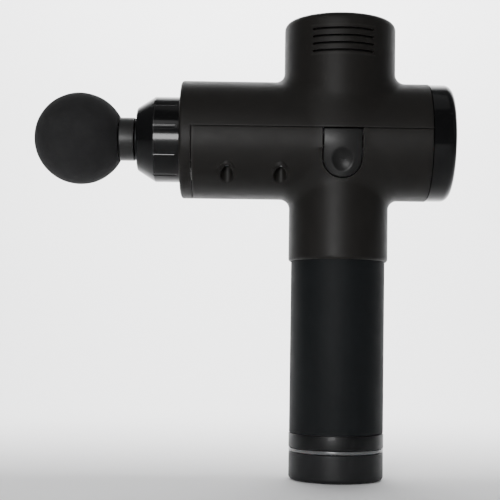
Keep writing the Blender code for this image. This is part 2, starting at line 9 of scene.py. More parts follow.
import bmesh
import bpy
import numpy as np
from mathutils import Euler, Matrix, Vector


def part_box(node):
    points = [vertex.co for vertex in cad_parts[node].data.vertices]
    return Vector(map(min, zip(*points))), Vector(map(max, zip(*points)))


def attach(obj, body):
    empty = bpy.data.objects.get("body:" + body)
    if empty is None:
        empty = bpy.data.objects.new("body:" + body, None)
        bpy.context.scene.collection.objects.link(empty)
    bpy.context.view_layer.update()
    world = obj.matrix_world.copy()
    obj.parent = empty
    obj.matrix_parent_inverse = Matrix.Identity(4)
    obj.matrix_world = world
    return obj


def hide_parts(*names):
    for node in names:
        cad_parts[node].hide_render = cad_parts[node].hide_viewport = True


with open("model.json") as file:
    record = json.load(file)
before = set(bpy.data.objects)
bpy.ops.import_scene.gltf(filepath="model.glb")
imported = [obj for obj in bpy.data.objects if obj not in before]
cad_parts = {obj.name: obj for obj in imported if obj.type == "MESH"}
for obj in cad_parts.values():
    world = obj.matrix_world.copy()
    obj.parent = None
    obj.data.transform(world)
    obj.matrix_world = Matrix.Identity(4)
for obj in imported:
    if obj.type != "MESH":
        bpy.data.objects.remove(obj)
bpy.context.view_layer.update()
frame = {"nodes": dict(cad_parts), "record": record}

# Places and sizes, read from the frame --------------------------------------------------------
MM = 0.001
UPPER_LOW, UPPER_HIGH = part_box("upper_shell")
LOWER_LOW, LOWER_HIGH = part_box("lower_shell")
SHAFT_LOW, SHAFT_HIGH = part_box("drive_shaft")
BARREL_Z = (SHAFT_LOW.z + SHAFT_HIGH.z) / 2
BARREL_R = UPPER_HIGH.y
FRONT_X = UPPER_LOW.x
FRONT_SEAM_X = LOWER_LOW.x
REAR_SEAM_X = UPPER_HIGH.x
SEAM_Z = LOWER_HIGH.z + 0.15 * MM
TOWER_TOP = UPPER_HIGH.z
TOWER_R = 29.9 * MM
COLLAR_BOTTOM = LOWER_LOW.z
COLLAR_R = 26.6 * MM
FILLET = 5.2 * MM
SEAM_GAP = 0.36 * MM

SCREWS = [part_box(f"housing_screw_{i}") for i in range(1, 5)]
SCREW_SPOTS = [((low.x + high.x) / 2, (low.y + high.y) / 2) for low, high in SCREWS]
RECESS_R = 3.25 * MM
RECESS_FLOOR = 166.2 * MM

TAB_LOW, TAB_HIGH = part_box("side_cover_left")
TAB_HALF = (TAB_HIGH.x - TAB_LOW.x) / 2
TAB_CENTRE_Z = TAB_LOW.z + TAB_HALF
DIMPLE_Z = 166.1 * MM
DIMPLE_R = 6.2 * MM
DIMPLE_DEPTH = 1.6 * MM

VENT_ZS = [(235.5 - 3.83 * i) * MM for i in range(4)]
VENT_HALF_X = 15.4 * MM
VENT_HALF_HEIGHT = 0.62 * MM
WALL = 2.2 * MM
NOSE_R = 22.9 * MM
NOSE_HOLE_R = NOSE_R + 0.25 * MM
GROOVES = 10
GROOVE_START = math.radians(9.5)
GROOVE_HALF_WIDTH = 1.1 * MM
GROOVE_FLANK = 0.85 * MM
GROOVE_DEPTH = 0.27 * MM
GROOVE_MIDDLE = -94.9 * MM
GROOVE_HALF_LENGTH = 7.3 * MM
TUBE_HOLE_R = 23.1 * MM
CAP_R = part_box("end_cap")[1].y
SLOT_OF = {part["node"]: part["material_slot"] for part in frame["record"]["subparts"]}


# Distance fields for the moulded shells -------------------------------------------------------
def round_union(a, b, radius):
    """Both solids, with a fillet of that radius where they meet."""
    u, v = np.maximum(radius - a, 0), np.maximum(radius - b, 0)
    return np.maximum(radius, np.minimum(a, b)) - np.hypot(u, v)


def round_overlap(a, b, radius):
    """What two solids share, with its new edge rounded."""
    return -round_union(-a, -b, radius)


def housing_field(p):
    """Distance to the outside of the barrel, tower and collar, less the screw recesses."""
    x, y, z = p.T
    barrel = np.hypot(y, z - BARREL_Z) - BARREL_R
    barrel = round_overlap(barrel, FRONT_X - x, 1.6 * MM)
    tower = round_overlap(np.hypot(x, y) - TOWER_R, z - TOWER_TOP, 3.6 * MM)
    tower = np.maximum(tower, BARREL_Z - 5 * MM - z)
    collar = round_overlap(np.hypot(x, y) - COLLAR_R, COLLAR_BOTTOM - z, 1.6 * MM)
    collar = np.maximum(collar, z - BARREL_Z)
    solid = round_union(round_union(barrel, tower, FILLET), collar, FILLET)
    for sx, sy in SCREW_SPOTS:
        recess = round_overlap(np.hypot(x - sx, y - sy) - RECESS_R, z - RECESS_FLOOR, 0.5 * MM)
        solid = round_overlap(solid, -recess, 0.55 * MM)
    return solid


def outline_distance(x, z):
    """Distance in the side view from the U of the side cover."""
    down = np.minimum(z - TAB_CENTRE_Z, 0)
    return np.hypot(x, down) - TAB_HALF


def dimple_ball():
    """Centre and radius of the ball that hollows out the finger dimple."""
    spot = settle(housing_field, np.array([[0, -BARREL_R, DIMPLE_Z]]))
    out = slope(housing_field, spot)
    out /= np.linalg.norm(out)
    radius = (DIMPLE_R**2 + DIMPLE_DEPTH**2) / (2 * DIMPLE_DEPTH)
    return (spot + out * (radius - DIMPLE_DEPTH))[0], radius


def tab_field(p):
    """Distance to the side cover on the -Y side: a rounded U with a pillowed face and a dimple."""
    x, y, z = p.T
    outside = round_union(np.hypot(y, z - BARREL_Z) - BARREL_R, np.hypot(x, y) - COLLAR_R, FILLET)
    skin = outside + 0.7 * MM * np.minimum((x / TAB_HALF) ** 2, 1)
    sides = outline_distance(x, z) + 0.10 * MM
    top = z - (TAB_HIGH.z - 0.05 * MM)
    body = round_overlap(round_overlap(skin, sides, 0.6 * MM), top, 0.4 * MM)
    body = np.maximum(body, -outside - 2.6 * MM)
    ball = np.linalg.norm(p - DIMPLE_CENTRE, axis=1) - DIMPLE_BALL_R
    return round_overlap(body, -ball, 0.35 * MM)


# Skins: a net of quads laid on a field, then cut along lines ------------------------------------
def slope(field, p):
    """The field's gradient, by differences."""
    step = 0.01 * MM
    columns = []
    for axis in range(3):
        shift = np.zeros(3)
        shift[axis] = step
        columns.append((field(p + shift) - field(p - shift)) / (2 * step))
    return np.stack(columns, 1)


def settle(field, p, rounds=4):
    """Points moved along the gradient onto the field's zero."""
    for _ in range(rounds):
        g = slope(field, p)
        p = p - g * (field(p) / np.maximum((g * g).sum(1), 0.2))[:, None]
    return p


DIMPLE_CENTRE, DIMPLE_BALL_R = dimple_ball()


def surface_net(field, low, high, cell, relax=8):
    """(points, quads) of the field's zero between two corners, evened out along the surface."""
    axes = [np.arange(a, b + cell, cell) for a, b in zip(low, high)]
    grid = np.stack(np.meshgrid(*axes, indexing="ij"), -1)
    shape = grid.shape[:3]
    inside = np.concatenate([field(part) for part in np.array_split(grid.reshape(-1, 3), 24)])
    inside = (inside < 0).reshape(shape)
    count = np.zeros([n - 1 for n in shape], int)
    for i in (0, 1):
        for j in (0, 1):
            for k in (0, 1):
                count += inside[i : shape[0] - 1 + i, j : shape[1] - 1 + j, k : shape[2] - 1 + k]
    active = (count > 0) & (count < 8)
    index = np.full(active.shape, -1)
    index[active] = np.arange(active.sum())
    points = np.array(low) + (np.argwhere(active) + 0.5) * cell
    quads = []
    for axis in range(3):
        u, v = (axis + 1) % 3, (axis + 2) % 3
        first = np.moveaxis(inside, axis, 0)[:-1]
        second = np.moveaxis(inside, axis, 0)[1:]
        for wanted, order in ((first & ~second, 1), (second & ~first, -1)):
            at = np.moveaxis(wanted, 0, axis)
            spots = np.argwhere(at)
            spots = spots[(spots[:, u] > 0) & (spots[:, v] > 0)]
            spots = spots[(spots[:, u] < shape[u] - 1) & (spots[:, v] < shape[v] - 1)]
            ring = []
            for du, dv in ((1, 1), (0, 1), (0, 0), (1, 0)):
                corner = spots.copy()
                corner[:, u] -= du
                corner[:, v] -= dv
                ring.append(index[tuple(corner.T)])
            quads.append(np.stack(ring, 1)[:, ::order])
    quads = np.concatenate(quads)
    points = settle(field, points)
    ends = np.unique(np.sort(np.concatenate([quads[:, [i, (i + 1) % 4]] for i in range(4)]), 1), axis=0)
    joins = np.bincount(ends.ravel(), minlength=len(points))[:, None]
    for _ in range(relax):
        total = np.zeros_like(points)
        np.add.at(total, ends[:, 0], points[ends[:, 1]])
        np.add.at(total, ends[:, 1], points[ends[:, 0]])
        points = settle(field, 0.5 * points + 0.5 * total / np.maximum(joins, 1), 1)
    return settle(field, points, 2), quads


def coords(body):
    return np.array([v.co for v in body.verts])


def move(body, points):
    for vert, point in zip(body.verts, points):
        vert.co = point


def refine(body, wanted):
    """Splits the faces whose middles are wanted, for finer detail there."""
    edges = {e for f in body.faces if wanted(f.calc_center_median()) for e in f.edges}
    bmesh.ops.subdivide_edges(body, edges=list(edges), cuts=1, use_grid_fill=True)


def score(body, field, line, near):
    """Lays a row of edges along a line's zero on the skin. Points that are near it move onto it."""
    points = coords(body)
    values = line(points)
    close = np.abs(values) < near
    snapped = points[close]
    for _ in range(4):
        snapped = settle(field, settle(line, snapped, 1), 1)
    points[close] = snapped
    values[close] = 0
    for vert, point, hit in zip(body.verts, points, close):
        if hit:
            vert.co = point
    body.verts.index_update()
    on_line = [v for v, hit in zip(body.verts, close) if hit]
    crossed = [e for e in body.edges if values[e.verts[0].index] * values[e.verts[1].index] < 0]
    for edge in crossed:
        a, b = edge.verts
        share = values[a.index] / (values[a.index] - values[b.index])
        on_line.append(bmesh.utils.edge_split(edge, a, share)[1])
    bmesh.ops.connect_verts(body, verts=on_line)


def drop(body, unwanted):
    """Deletes the faces whose middles are unwanted."""
    middles = np.array([f.calc_center_median() for f in body.faces])
    gone = unwanted(middles)
    bmesh.ops.delete(body, geom=[f for f, hit in zip(body.faces, gone) if hit], context="FACES")


def skin_of(points, quads):
    mesh = bpy.data.meshes.new("skin")
    mesh.from_pydata(points.tolist(), [], quads.tolist())
    body = bmesh.new()
    body.from_mesh(mesh)
    bpy.data.meshes.remove(mesh)
    return body


# Objects --------------------------------------------------------------------------------------
def finish_piece(name, body, finish, on, replaces=(), smooth=35):
    """A bmesh made into a piece that rides on a body and takes its finish from a slot."""
    mesh = bpy.data.meshes.new(name)
    bmesh.ops.recalc_face_normals(body, faces=body.faces)
    body.to_mesh(mesh)
    body.free()
    mesh.shade_smooth()
    mesh.set_sharp_from_angle(angle=math.radians(smooth))
    mesh.materials.append(finish)
    piece = bpy.data.objects.new(name, mesh)
    bpy.context.scene.collection.objects.link(piece)
    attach(piece, on)
    if replaces:
        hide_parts(*replaces)
    return piece


def thicken(piece, thickness, edge):
    """Gives an open skin its wall, with every cut edge broken."""
    wall = piece.modifiers.new("Wall", "SOLIDIFY")
    wall.thickness = thickness
    wall.offset = -1
    bevel = piece.modifiers.new("Broken edges", "BEVEL")
    bevel.width = edge
    bevel.segments = 2
    bevel.limit_method = "ANGLE"
    bevel.angle_limit = math.radians(55)


def turned(profile, steps=128, at=(0, 0, 0), sweep=None, angles=None):
    """Body turned round Z from (radius, height) points listed from the top down its outer side.

    sweep(angle, radius, height) may return a changed radius, for flutes and ribs.
    """
    body = bmesh.new()
    angles = angles or [2 * math.pi * step / steps for step in range(steps)]
    steps = len(angles)
    rows = []
    for radius, height in profile:
        if radius == 0:
            rows.append([body.verts.new((0, 0, height))])
            continue
        row = []
        for angle in angles:
            r = sweep(angle, radius, height) if sweep else radius
            row.append(body.verts.new((r * math.cos(angle), r * math.sin(angle), height)))
        rows.append(row)
    closed = profile[0][0] > 0 or profile[-1][0] > 0
    pairs = list(zip(rows, rows[1:] + rows[:1])) if closed else list(zip(rows, rows[1:]))
    for upper, lower in pairs:
        for i in range(steps):
            j = (i + 1) % steps
            corners = [row[k % len(row)] for row, k in ((upper, i), (lower, i), (lower, j), (upper, j))]
            kept = list(dict.fromkeys(corners))
            if len(kept) > 2:
                body.faces.new(kept)
    bmesh.ops.translate(body, vec=at, verts=body.verts)
    return body


def arc(centre, radius, start, end, count=6):
    """Points on a rounded edge of a profile, angles in degrees from the +radius direction."""
    turns = [math.radians(start + (end - start) * i / count) for i in range(count + 1)]
    return [(centre[0] + radius * math.cos(a), centre[1] + radius * math.sin(a)) for a in turns]


# Camera, floor and lights -----------------------------------------------------------------------
def set_camera():
    """A long lens level with the grip, looking slightly up, with a slight roll and shift."""
    camera = bpy.data.cameras.new("camera")
    camera.lens = 83.4
    camera.sensor_width = 36
    camera.clip_start = 0.01
    camera.shift_x = -0.0323
    camera.shift_y = 0.0688
    obj = bpy.data.objects.new("camera", camera)
    bpy.context.scene.collection.objects.link(obj)
    turn = Euler((math.radians(90 + 2.48), 0, math.radians(-0.48)), "XYZ").to_matrix().to_4x4()
    roll = Matrix.Rotation(math.radians(0.777), 4, "Z")
    obj.matrix_world = Matrix.Translation((-0.0435, -0.6217, 0.0764)) @ turn @ roll
    bpy.context.scene.camera = obj


def area_light(name, at, aim, size, power):
    lamp = bpy.data.lights.new(name, "AREA")
    lamp.shape = "RECTANGLE"
    lamp.size, lamp.size_y = size
    lamp.energy = power
    obj = bpy.data.objects.new(name, lamp)
    bpy.context.scene.collection.objects.link(obj)
    obj.location = at
    obj.rotation_euler = (Vector(aim) - Vector(at)).to_track_quat("-Z", "Y").to_euler()


def make_stage():
    """A pale floor that curves up into a backdrop with its own light, and soft lights from the front."""
    width, reach, rise, bend = 3.0, 0.9, 1.8, 0.35
    profile = [(-1.0, 0.0), (reach - bend, 0.0)]
    for step in range(1, 13):
        turn = math.pi / 2 * step / 12
        profile.append((reach - bend + bend * math.sin(turn), bend - bend * math.cos(turn)))
    profile.append((reach, rise))
    mesh = bpy.data.meshes.new("backdrop")
    points = [(side * width, y, z - 0.0002) for side in (-1, 1) for y, z in profile]
    count = len(profile)
    mesh.from_pydata(points, [], [(i, i + count, i + count + 1, i + 1) for i in range(count - 1)])
    mesh.shade_smooth()
    backdrop = bpy.data.objects.new("backdrop", mesh)
    bpy.context.scene.collection.objects.link(backdrop)
    mesh.materials.append(backdrop_finish())

    world = bpy.data.worlds.new("studio")
    world.use_nodes = True
    world.node_tree.nodes["Background"].inputs["Color"].default_value = (0.80, 0.82, 0.85, 1)
    world.node_tree.nodes["Background"].inputs["Strength"].default_value = 0.22
    bpy.context.scene.world = world

    aim = (0, 0, 0.14)
    area_light("key", (-0.45, -1.00, 0.80), aim, (0.6, 0.6), 3.2)
    area_light("top", (0.05, -0.10, 1.05), aim, (0.5, 0.8), 0.5)
    area_light("front_panel", (-0.27, -1.15, 0.165), (0, 0, 0.165), (0.35, 0.28), 10.0)
    area_light("right_edge", (0.95, -0.35, 0.45), (0.03, 0, 0.16), (0.20, 0.5), 0.15)
    area_light("backdrop_wash", (0, 0.12, 0.80), (0, 0.9, 0.66), (1.0, 0.4), 42.0)


# Finishes -------------------------------------------------------------------------------------
class Finish:
    """A Principled material with a few noise layers behind its colour, roughness and bump."""

    def __init__(self, name, colour, roughness, metallic=0.0, **sockets):
        self.material = bpy.data.materials.new(name)
        self.material.use_nodes = True
        self.tree = self.material.node_tree
        self.shader = self.tree.nodes["Principled BSDF"]
        self.colour, self.roughness = colour, roughness
        self.shader.inputs["Base Color"].default_value = (*colour, 1)
        self.shader.inputs["Roughness"].default_value = roughness
        self.shader.inputs["Metallic"].default_value = metallic
        for socket, value in sockets.items():
            self.shader.inputs[socket.replace("_", " ")].default_value = value
        self.place = self.node("ShaderNodeTexCoord").outputs["Object"]
        self.bump = None

    def node(self, kind, **settings):
        made = self.tree.nodes.new(kind)
        for key, value in settings.items():
            setattr(made, key, value)
        return made

    def link(self, start, end):
        self.tree.links.new(start, end)

    def stretched(self, scale):
        """Object coordinates scaled apart on each axis."""
        mapping = self.node("ShaderNodeMapping")
        mapping.inputs["Scale"].default_value = scale
        self.link(self.place, mapping.inputs["Vector"])
        return mapping.outputs["Vector"]

    def noise(self, size, detail=3.0, scale=(1, 1, 1), roughness=0.55):
        """Noise whose features are about that size, in metres."""
        made = self.node("ShaderNodeTexNoise")
        made.inputs["Scale"].default_value = 1 / size
        made.inputs["Detail"].default_value = detail
        made.inputs["Roughness"].default_value = roughness
        self.link(self.stretched(scale), made.inputs["Vector"])
        return made.outputs["Fac"]

    def cells(self, size, feature="F1", randomness=1.0):
        made = self.node("ShaderNodeTexVoronoi", feature=feature)
        made.inputs["Scale"].default_value = 1 / size
        made.inputs["Randomness"].default_value = randomness
        self.link(self.place, made.inputs["Vector"])
        return made.outputs["Distance"]

    def span(self, value, low, high, new_low, new_high):
        """A value from low to high taken to new_low to new_high, held at the ends."""
        made = self.node("ShaderNodeMapRange")
        limits = {"From Min": low, "From Max": high, "To Min": new_low, "To Max": new_high}
        for socket, number in limits.items():
            made.inputs[socket].default_value = number
        self.link(value, made.inputs["Value"])
        return made.outputs["Result"]

    def worn_edges(self):
        """1 on sharp convex edges, 0 elsewhere."""
        pointiness = self.node("ShaderNodeNewGeometry").outputs["Pointiness"]
        return self.span(pointiness, 0.56, 0.72, 0, 1)

    def tint(self, value, other):
        """Mixes the colour towards another one by a value from 0 to 1."""
        mix = self.node("ShaderNodeMix", data_type="RGBA")
        socket = self.shader.inputs["Base Color"]
        if socket.is_linked:
            self.link(socket.links[0].from_socket, mix.inputs["A"])
        else:
            mix.inputs["A"].default_value = (*self.colour, 1)
        mix.inputs["B"].default_value = (*other, 1)
        self.link(value, mix.inputs["Factor"])
        self.link(mix.outputs["Result"], socket)

    def vary_roughness(self, value, amount):
        """Adds (value - 0.5) x amount to the roughness."""
        socket = self.shader.inputs["Roughness"]
        scaled = self.node("ShaderNodeMath", operation="MULTIPLY_ADD")
        self.link(value, scaled.inputs[0])
        scaled.inputs[1].default_value = amount
        if socket.is_linked:
            self.link(socket.links[0].from_socket, scaled.inputs[2])
        else:
            scaled.inputs[2].default_value = self.roughness - amount / 2
        self.link(scaled.outputs[0], socket)

    def raise_by(self, height, distance):
        """Bump from a height between 0 and 1 and its depth in metres, on top of any before it."""
        made = self.node("ShaderNodeBump")
        made.inputs["Distance"].default_value = distance
        self.link(height, made.inputs["Height"])
        if self.bump:
            self.link(self.bump, made.inputs["Normal"])
        self.bump = made.outputs["Normal"]
        self.link(self.bump, self.shader.inputs["Normal"])


def backdrop_finish():
    finish = Finish("backdrop_paper", (0.90, 0.90, 0.90), 0.85, Specular_IOR_Level=0.1)
    finish.tint(finish.span(finish.noise(0.25), 0.3, 0.7, 0, 1), (0.885, 0.885, 0.89))
    finish.raise_by(finish.noise(0.002), 0.00005)
    return finish.material


def moulded(name, colour, roughness, grain=0.00032, depth=0.00002, **sockets):
    """Spark-textured moulded plastic: fine grain, faint handling marks and slightly worn edges."""
    finish = Finish(name, colour, roughness, **sockets)
    lighter = tuple(c * 1.5 + 0.002 for c in colour)
    finish.tint(finish.span(finish.noise(0.012, 4), 0.35, 0.75, 0, 0.35), tuple(c * 1.35 for c in colour))
    finish.tint(finish.worn_edges(), lighter)
    finish.vary_roughness(finish.noise(0.006, 5), 0.16)
    finish.raise_by(finish.noise(grain, 2), depth)
    finish.raise_by(finish.noise(0.018, 1), 0.00006)
    return finish.material


def glossy(name, colour, roughness, dust=0.10):
    """Polished black plastic with a clear skin, faint hairlines and a little dust."""
    sockets = {"Coat_Weight": 0.04, "Coat_Roughness": 0.05, "Specular_IOR_Level": 0.18}
    finish = Finish(name, colour, roughness, **sockets)
    hairlines = finish.noise(0.0011, 3, scale=(0.12, 1, 1))
    finish.vary_roughness(hairlines, 0.08)
    dusty = finish.span(finish.noise(0.004, 6, roughness=0.75), 0.56, 0.80, 0, dust)
    finish.tint(dusty, (0.03, 0.03, 0.031))
    finish.tint(finish.worn_edges(), tuple(c + 0.008 for c in colour))
    finish.raise_by(finish.noise(0.014, 2), 0.00005)
    return finish.material


def rubber(name, colour, roughness, grain=0.0005, depth=0.00004):
    """Soft-touch rubber: dull, with a fine pebble and a matt bloom."""
    sockets = {"Sheen_Weight": 0.01, "Sheen_Roughness": 0.5, "Specular_IOR_Level": 0.12}
    finish = Finish(name, colour, roughness, **sockets)
    finish.tint(finish.span(finish.noise(0.016, 4), 0.35, 0.75, 0, 0.5), tuple(c * 1.4 for c in colour))
    finish.tint(finish.worn_edges(), tuple(c * 1.8 for c in colour))
    finish.vary_roughness(finish.noise(0.008, 4), 0.14)
    finish.raise_by(finish.cells(grain), depth)
    finish.raise_by(finish.noise(0.0002, 2), depth / 2)
    return finish.material


def foam(name):
    """Dense closed-cell foam with its pores, painted shade in the pore pits, and a faint moulding skin."""
    finish = Finish(name, (0.0105, 0.0105, 0.0108), 0.92, Specular_IOR_Level=0.22)
    pores = finish.cells(0.00075)
    finish.tint(finish.span(finish.noise(0.009, 5), 0.3, 0.75, 0, 0.7), (0.016, 0.016, 0.0165))
    # Painted shade: the pore pits are darkened where shade falls in them.
    finish.tint(finish.span(pores, 0.0, 0.22, 0.6, 0), (0.005, 0.005, 0.005))
    finish.vary_roughness(finish.noise(0.003, 3), 0.10)
    finish.raise_by(finish.span(pores, 0.0, 0.5, 0, 1), 0.00009)
    finish.raise_by(finish.noise(0.006, 3), 0.00012)
    return finish.material


def metal(name, colour, roughness, along=(1, 1, 0.06), tarnish=(0.30, 0.27, 0.24)):
    """Machined metal with tool marks running one way and dull patches."""
    finish = Finish(name, colour, roughness, 1.0)
    marks = finish.noise(0.0005, 4, scale=along)
    finish.vary_roughness(marks, 0.22)
    finish.tint(finish.span(finish.noise(0.007, 5), 0.5, 0.8, 0, 0.55), tarnish)
    finish.raise_by(marks, 0.00001)
    return finish.material


def cast_metal(name):
    finish = Finish(name, (0.42, 0.43, 0.45), 0.46, 1.0)
    finish.tint(finish.span(finish.noise(0.006, 5), 0.45, 0.8, 0, 0.6), (0.25, 0.25, 0.26))
    finish.vary_roughness(finish.noise(0.002, 4), 0.25)
    finish.raise_by(finish.noise(0.0009, 4), 0.00008)
    return finish.material


def copper_windings(name):
    """Enamelled wire laid in turns round the stator's teeth, with painted shade in the grooves between
    turns.
    """
    finish = Finish(name, (0.62, 0.27, 0.11), 0.28, 1.0, Coat_Weight=0.5)
    wave = finish.node("ShaderNodeTexWave", wave_type="BANDS", bands_direction="Z")
    wave.inputs["Scale"].default_value = 320
    wave.inputs["Distortion"].default_value = 1.5
    finish.link(finish.place, wave.inputs["Vector"])
    # Painted shade: the grooves between the wire turns are darkened.
    finish.tint(finish.span(wave.outputs["Fac"], 0, 0.35, 0.75, 0), (0.20, 0.07, 0.03))
    finish.vary_roughness(finish.noise(0.003, 3), 0.15)
    finish.raise_by(wave.outputs["Fac"], 0.0002)
    return finish.material


def circuit_board(name):
    """Green solder mask with copper traces and pads under it."""
    finish = Finish(name, (0.012, 0.10, 0.045), 0.38, Coat_Weight=0.3)
    traces = finish.cells(0.0026, "DISTANCE_TO_EDGE", 0.75)
    finish.tint(finish.span(traces, 0.0, 0.09, 0.8, 0), (0.03, 0.20, 0.07))
    pads = finish.cells(0.0034)
    finish.tint(finish.span(pads, 0.12, 0.15, 1, 0), (0.55, 0.56, 0.52))
    finish.vary_roughness(finish.noise(0.002, 3), 0.12)
    finish.raise_by(finish.span(traces, 0.0, 0.09, 1, 0), 0.00004)
    return finish.material


def cell_sleeve(name):
    """Shrink sleeve of a battery cell: glossy film with faint wrinkles."""
    finish = Finish(name, (0.035, 0.16, 0.33), 0.30, Coat_Weight=0.4)
    finish.tint(finish.span(finish.noise(0.010, 4), 0.4, 0.8, 0, 0.5), (0.02, 0.10, 0.22))
    wrinkles = finish.noise(0.0030, 4, scale=(1, 1, 0.15))
    finish.vary_roughness(wrinkles, 0.16)
    finish.raise_by(wrinkles, 0.00007)
    return finish.material


def frosted_light(name):
    """Smoked light guide over the battery lamps."""
    finish = Finish(name, (0.064, 0.066, 0.068), 0.24, Subsurface_Weight=0.15, Subsurface_Scale=0.001)
    finish.tint(finish.span(finish.noise(0.010, 3), 0.35, 0.75, 0, 1), (0.084, 0.085, 0.087))
    finish.vary_roughness(finish.noise(0.001, 4), 0.14)
    finish.raise_by(finish.noise(0.0005, 3), 0.00002)
    return finish.material


def wire_cover(name):
    finish = Finish(name, (0.26, 0.022, 0.015), 0.42)
    finish.tint(finish.span(finish.noise(0.004, 4), 0.4, 0.8, 0, 0.6), (0.15, 0.012, 0.010))
    finish.vary_roughness(finish.noise(0.001, 3), 0.15)
    finish.raise_by(finish.noise(0.0012, 3), 0.00004)
    return finish.material


def sintered(name):
    finish = Finish(name, (0.60, 0.57, 0.50), 0.52)
    finish.tint(finish.span(finish.noise(0.003, 5), 0.45, 0.8, 0, 0.7), (0.42, 0.37, 0.29))
    finish.vary_roughness(finish.noise(0.001, 3), 0.18)
    finish.raise_by(finish.cells(0.0003), 0.00003)
    return finish.material


def make_finishes():
    return {
        "housing": moulded("housing_plastic", (0.0086, 0.0079, 0.0072), 0.46, Specular_IOR_Level=0.13),
        "cover": moulded(
            "cover_plastic", (0.0070, 0.0069, 0.0068), 0.36, depth=0.00001, Specular_IOR_Level=0.17
        ),
        "grip": rubber("grip_rubber", (0.0040, 0.0049, 0.0055), 0.60),
        "gloss": glossy("gloss_black", (0.0028, 0.0028, 0.0030), 0.14),
        "band": glossy("satin_black", (0.0032, 0.0034, 0.0037), 0.42),
        "foam": foam("ball_foam"),
        "head_plastic": moulded(
            "head_plastic", (0.0100, 0.0100, 0.0098), 0.40, depth=0.00001, Specular_IOR_Level=0.3
        ),
        "light": frosted_light("light_guide"),
        "lens": glossy("display_glass", (0.0040, 0.0040, 0.0045), 0.05, dust=0.04),
        "rubber": rubber("seal_rubber", (0.011, 0.011, 0.011), 0.68, 0.0003, 0.00002),
        "frame": cast_metal("cast_frame"),
        "steel": metal("turned_steel", (0.53, 0.54, 0.55), 0.30),
        "blackened": metal("blackened_steel", (0.030, 0.030, 0.032), 0.34, tarnish=(0.045, 0.042, 0.038)),
        "copper": copper_windings("copper_windings"),
        "magnet": metal("nickel_magnet", (0.30, 0.30, 0.31), 0.34, (1, 1, 1), (0.2, 0.2, 0.2)),
        "bush": sintered("sintered_bush"),
        "board": circuit_board("circuit_board"),
        "cell": cell_sleeve("cell_sleeve"),
        "inner_plastic": moulded("inner_plastic", (0.055, 0.055, 0.060), 0.50, 0.0005, 0.00003),
        "end_plastic": moulded("end_plastic", (0.0100, 0.0102, 0.0108), 0.44, Specular_IOR_Level=0.16),
        "cable": wire_cover("wire_cover"),
        # near-black sheet finish: painted shade for the dark interior seen through the tower's vents
        "screen": rubber("vent_shade_black", (0.004, 0.004, 0.004), 0.85, 0.0006, 0.0001),
        "mark": moulded("printed_mark", (0.30, 0.31, 0.32), 0.45),
    }


def dress_frame(finishes):
    """Gives each CAD node the finish of its slot in the record."""
    for name, node in frame["nodes"].items():
        slot = SLOT_OF[name]
        if not node.data.materials:
            node.data.materials.append(None)
        for index in range(len(node.material_slots)):
            node.material_slots[index].material = finishes[slot]


# Housing --------------------------------------------------------------------------------------
def plane(axis, at):
    """Line function of the cut by a plane across one axis."""
    return lambda p: p[:, axis] - at


def from_drive_line(p):
    return np.hypot(p[:, 1], p[:, 2] - BARREL_Z)


def from_handle_line(p):
    return np.hypot(p[:, 0], p[:, 1])


def vent_line(p):
    """Distance in the side view from the nearest of the tower's slots."""
    x = np.maximum(np.abs(p[:, 0]) - VENT_HALF_X, 0)
    return np.min([np.hypot(x, p[:, 2] - z) for z in VENT_ZS], axis=0) - VENT_HALF_HEIGHT


def window_line(p):
    """Distance in the side view from the U-shaped windows of the side covers."""
    return outline_distance(p[:, 0], p[:, 2]) - SEAM_GAP


def near_recess(p):
    spot = min(math.hypot(p.x - sx, p.y - sy) for sx, sy in SCREW_SPOTS)
    return spot < RECESS_R + 1.3 * MM and p.z < RECESS_FLOOR + 2 * MM


def near_vents(p):
    return abs(p.x) < VENT_HALF_X + 1.6 * MM and VENT_ZS[-1] - 1.6 * MM < p.z < VENT_ZS[0] + 1.6 * MM


def near_window(p):
    edge = float(window_line(np.array([p])[:, :3])[0])
    return abs(edge) < 1.4 * MM and p.z < SEAM_Z + MM


def skin_copy(points, quads, keep, fine):
    """Skin of the quads that keep wants, split twice where fine wants more detail."""
    middles = points[quads].mean(1)
    body = skin_of(points, quads[keep(middles)])
    loose = [v for v in body.verts if not v.link_faces]
    bmesh.ops.delete(body, geom=loose, context="VERTS")
    for _ in range(2):
        refine(body, fine)
        move(body, settle(housing_field, coords(body)))
    return body


